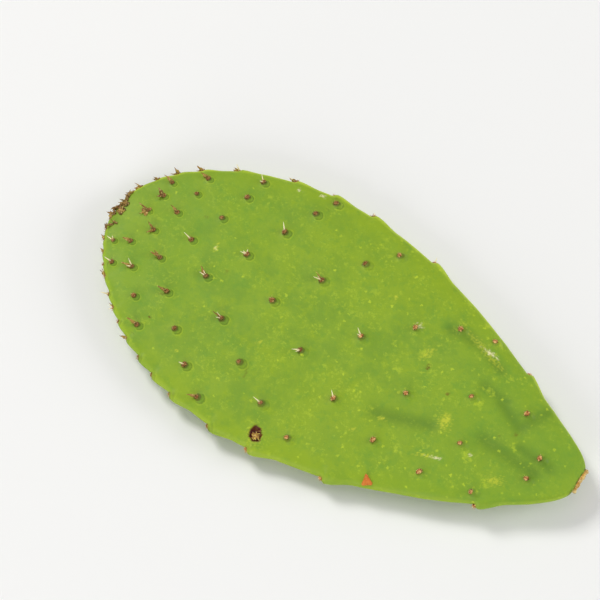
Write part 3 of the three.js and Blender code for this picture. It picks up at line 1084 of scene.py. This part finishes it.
def build_leaves(sizes, seats):
    models = [taper_model(9, 9, leaf_outline, *kind) for kind in LEAF_KINDS]
    length, radius = sizes.leaf_length / MM, sizes.leaf_radius / MM
    leaves = []
    grown = [(seat, 0) for seat in seats] + [(seat, 1) for seat in litter_seats()]
    for seat, litter in grown:
        x = seat.point[0]
        crowded = x < -125 and seat.on_rim and seat.point[1] > -20
        if not litter and not crowded and seat.draw(1) >= chance(x, LEAFY):
            continue
        root = rooted(seat, seats)
        for k in range(1 + (x < -100 and seat.draw(41) > 0.45) + 2 * crowded):
            reach = length * seat.draw(2 + 30 * k, 0.8, 1.15)
            reach *= 0.72 if k + litter + seat.on_rim else 1
            lift = seat.draw(3 + 30 * k, 0.4, 0.75) - 0.2 * (k > 0) - 0.3 * litter
            turn = (0.4 + 0.65 * (k > 0) + 1.2 * litter) * seat.draw(4 + 30 * k, -1, 1)
            axis = clear_axis(seat, root, reach, radius, lift, turn)
            if axis is None:
                continue
            model = models[int(3 * seat.draw(15 + k))]
            basis = basis_of(axis, seat.out, seat.draw(16 + k, 0, FULL_TURN))
            wide = radius * seat.draw(18 + k, 0.75, 1.15)
            size = (wide, 0.62 * wide, reach)
            leaves.append(copy_to(model, basis, root, size, seat.draw(17 + k)))
    dead_skin, *others = lay_flakes(seats)
    dead_skin.name = dead_skin.data.name = "skin_flake"
    finish_piece(dead_skin, dry_growth("dead_skin"))
    join_copies([*leaves, *others], "dried_leaves", "dried_leaf", "dried_leaf", *models)


CRUST_SIDES = 72
CRUST_RINGS = (0.10, 0.12, 0.14, 0.16, 0.16)  # widths of the rings, from the edge inwards


def crust_model():
    """A disc one unit in radius, finely divided on its upper side."""
    crust = add_primitive("cylinder", vertices=CRUST_SIDES, radius=1.0, depth=1.0, end_fill_type="NGON")
    cut_level([0.0])
    for face in crust.data.polygons:
        face.select = face.normal.z > 0.9
    set_mode("EDIT")
    bpy.ops.mesh.select_mode(type="FACE")
    for width in CRUST_RINGS:
        bpy.ops.mesh.inset(thickness=width, depth=0)
    bpy.ops.mesh.select_all(action="SELECT")
    bpy.ops.mesh.quads_convert_to_tris()
    set_mode("OBJECT")
    pick(crust)
    fine = crust.modifiers.new("fine", "SUBSURF")
    fine.subdivision_type = "SIMPLE"
    fine.levels = fine.render_levels = 1
    bpy.ops.object.modifier_apply(modifier="fine")
    return crust


def build_scar():
    """The corky end of the base: an oval crust with a raised, broken lip and a dished middle."""
    scar = crust_model()
    scar.name = scar.data.name = "base_scar"
    points = read_points(scar)
    r = np.hypot(points[:, 0], points[:, 1])
    rough = shake(points, (2.2, 2.2, 0), (0, 0, 4))
    fine = shake(points, (7, 7, 1), (0, 0, 9))
    lip = np.exp(-(((r - 0.86) / 0.14) ** 2))
    around = np.arctan2(points[:, 1], points[:, 0])
    crack = (1 - np.abs(np.sin(6.5 * around + 5 * rough)) ** 0.35) * ease((r - 0.2) / 0.3)
    height = 0.5 + 1.2 * lip - 0.25 * ease(1 - r) + 1.1 * rough * r + 0.5 * fine - 0.8 * crack
    height = np.where(points[:, 2] > 0.2, height, points[:, 2])
    wide = 1 + 0.16 * rough + 0.08 * fine
    x = TIP_X + HALF_LENGTH * (1 + BASE_AT) + 0.35 + 1.05 * height
    y = sway(BASE_AT) + SCAR_SHIFT + 0.9 * half_width(BASE_AT) * points[:, 0] * wide
    z = mid_height(BASE_AT, 0.0) + 1.06 * half_thick(BASE_AT) * points[:, 1] * wide
    write_points(scar, (np.stack((x, y, z), -1) + CENTRE) * MM)
    # paler on the raised lip and lumps and darker in the cracks and the dished middle: partly the cork's own
    # colour, partly painted highlight and painted shade
    write_values(scar, "reach", np.clip(0.5 + 0.5 * height - 0.35 * (r < 0.7) - 0.5 * crack, 0, 1))
    write_values(scar, "tint", 0.5 + 0.5 * rough)
    pick(scar)
    set_mode("EDIT")
    bpy.ops.mesh.select_all(action="SELECT")
    bpy.ops.mesh.normals_make_consistent(inside=False)
    set_mode("OBJECT")
    smooth(scar)
    finish_piece(scar, dry_growth("base_cork"))


STRANDS = 26
STRAND_WAYS = (-0.5, -0.4, -0.5, 0.7)  # usual directions of the strands, in radians


def strand_outline(t):
    return np.sin(math.pi * np.clip(t, 0.04, 0.96)) ** 0.5


def build_wound():
    """Dry strands across the old wound."""
    model = taper_model(5, 6, strand_outline, bend=0.02, wrinkle=0.2)
    px, py, _, _, turn = PIT
    rng = random.Random(SEED + 5)
    strands = []
    for _ in range(STRANDS):
        angle = rng.choice(STRAND_WAYS) + rng.uniform(-0.3, 0.3)
        length = rng.uniform(2.0, 3.6)
        dx, dy = turned(rng.uniform(-2.2, 0.9), rng.uniform(-1.9, 1.9), turn)
        start = skin_point(px + dx, py + dy) - (0, 0, rng.uniform(0.4, 1.0))
        axis = unit(np.array((math.cos(angle), math.sin(angle), rng.uniform(-0.1, 0.12))))
        basis = basis_of(axis, np.array((0, 0, 1.0)), rng.uniform(0, 6))
        tint = rng.uniform(0, 1)
        wide = rng.uniform(0.25, 0.6)
        strands.append(copy_to(model, basis, start, (wide, 0.7 * wide, length), tint))
    join_copies(strands, "wound_strands", "base_cork", "wound_fibre", model)


# ---- stage ----

CAMERA_AZIMUTH = 33.7  # degrees from -Y towards +X
CAMERA_HEIGHT = 67.0  # degrees above the floor
CAMERA_DISTANCE = 1105.8
CAMERA_TARGET = (-34.5, 14.5, 8.0)
CAMERA_LENS = 118.8
FLOOR_SIZE = 6.0  # in metres
DAYLIGHT = 0.27  # strength of the even white world
# square lamps: place and size in metres, power in watts, colour
LAMPS = {
    "key": ((-1.75, 0.45, 1.95), 0.8, 36.0, (1.0, 0.99, 0.96)),
    "overhead": ((-0.2, 0.0, 1.9), 1.6, 2.5, (1.0, 1.0, 1.0)),
    "fill": ((0.15, -1.5, 0.5), 1.0, 12.0, (1.0, 1.0, 0.98)),
    "far_fill": ((1.4, 0.9, 0.8), 1.0, 14.0, (1.0, 1.0, 0.98)),
}


def build_floor():
    floor = add_primitive("plane", size=FLOOR_SIZE, location=(0, 0, 0))
    floor.name = "floor"
    pale = Coat("pale_floor", (0.92, 0.92, 0.92, 1))
    floor.data.materials.append(pale.finished({"Roughness": 0.9, "Specular IOR Level": 0.1}))


def build_camera():
    azimuth, height = math.radians(CAMERA_AZIMUTH), math.radians(CAMERA_HEIGHT)
    level = math.cos(height)
    back = Vector((math.sin(azimuth) * level, -math.cos(azimuth) * level, math.sin(height)))
    target = (Vector(CAMERA_TARGET) + Vector(CENTRE)) * MM
    deselect_all()
    bpy.ops.object.camera_add(location=target + back * CAMERA_DISTANCE * MM)
    camera = bpy.context.object
    camera.name = "camera"
    camera.rotation_euler = back.to_track_quat("Z", "Y").to_euler()
    camera.data.lens = CAMERA_LENS
    camera.data.clip_end = 20
    bpy.context.scene.camera = camera


def build_lights():
    for name, (place, size, power, colour) in LAMPS.items():
        deselect_all()
        bpy.ops.object.light_add(type="AREA", location=place)
        lamp = bpy.context.object
        lamp.name = name
        lamp.data.shape = "SQUARE"
        lamp.data.size = size
        lamp.data.energy = power
        lamp.data.color = colour
        lamp.rotation_euler = Vector(place).to_track_quat("Z", "Y").to_euler()

    world = bpy.data.worlds.new("studio")
    world.use_nodes = True
    background = world.node_tree.nodes["Background"].inputs
    background["Color"].default_value = (1, 1, 1, 1)
    background["Strength"].default_value = DAYLIGHT
    bpy.context.scene.world = world
    bpy.context.scene.view_settings.view_transform = "Standard"


# ---- operators and panel ----

SEATS = all_seats()


class CACTUS_OT_skin(bpy.types.Operator):
    """Make the skin of the pad with its tubercles, creases and blemishes"""

    bl_idname = "cactus.skin"
    bl_label = "Skin"

    def execute(self, context):
        build_skin(context.scene.cactus_look, SEATS)
        return {"FINISHED"}


class CACTUS_OT_areoles(bpy.types.Operator):
    """Set a woolly cushion and a tuft of fine bristles on every tubercle"""

    bl_idname = "cactus.areoles"
    bl_label = "Areoles"

    def execute(self, context):
        build_areoles(context.scene.cactus_sizes, SEATS)
        return {"FINISHED"}


class CACTUS_OT_spines(bpy.types.Operator):
    """Set the pale spines on some of the areoles"""

    bl_idname = "cactus.spines"
    bl_label = "Spines"

    def execute(self, context):
        build_spines(context.scene.cactus_sizes, SEATS)
        return {"FINISHED"}


class CACTUS_OT_leaves(bpy.types.Operator):
    """Set the dried conical leaves, most of them near the tip"""

    bl_idname = "cactus.leaves"
    bl_label = "Dried leaves"

    def execute(self, context):
        build_leaves(context.scene.cactus_sizes, SEATS)
        return {"FINISHED"}


class CACTUS_OT_scars(bpy.types.Operator):
    """Make the corky scar of the base and the strands in the old wound"""

    bl_idname = "cactus.scars"
    bl_label = "Scars"

    def execute(self, context):
        build_scar()
        build_wound()
        return {"FINISHED"}


class CACTUS_OT_stage(bpy.types.Operator):
    """Make the floor, the lights and the camera"""

    bl_idname = "cactus.stage"
    bl_label = "Stage"

    def execute(self, context):
        build_floor()
        build_camera()
        build_lights()
        return {"FINISHED"}


OPERATORS = (
    CACTUS_OT_skin,
    CACTUS_OT_areoles,
    CACTUS_OT_spines,
    CACTUS_OT_leaves,
    CACTUS_OT_scars,
    CACTUS_OT_stage,
)


class CACTUS_PT_panel(bpy.types.Panel):
    """Lists the pieces of the cactus pad"""

    bl_idname = "CACTUS_PT_panel"
    bl_label = "Cactus pad"
    bl_space_type = "VIEW_3D"
    bl_region_type = "UI"
    bl_category = "Cactus pad"

    def draw(self, context):
        for operator in OPERATORS:
            self.layout.operator(operator.bl_idname)
        for group in (context.scene.cactus_sizes, context.scene.cactus_look):
            for name in group.__annotations__:
                self.layout.prop(group, name)


CLASSES = (CactusLook, CactusSizes, *OPERATORS, CACTUS_PT_panel)


def register():
    for cls in CLASSES:
        bpy.utils.register_class(cls)
    bpy.types.Scene.cactus_look = bpy.props.PointerProperty(type=CactusLook)
    bpy.types.Scene.cactus_sizes = bpy.props.PointerProperty(type=CactusSizes)


def unregister():
    del bpy.types.Scene.cactus_sizes
    del bpy.types.Scene.cactus_look
    for cls in reversed(CLASSES):
        bpy.utils.unregister_class(cls)


def main():
    register()
    for step in ("skin", "areoles", "spines", "leaves", "scars", "stage"):
        getattr(bpy.ops.cactus, step)()


if __name__ == "__main__":
    main()
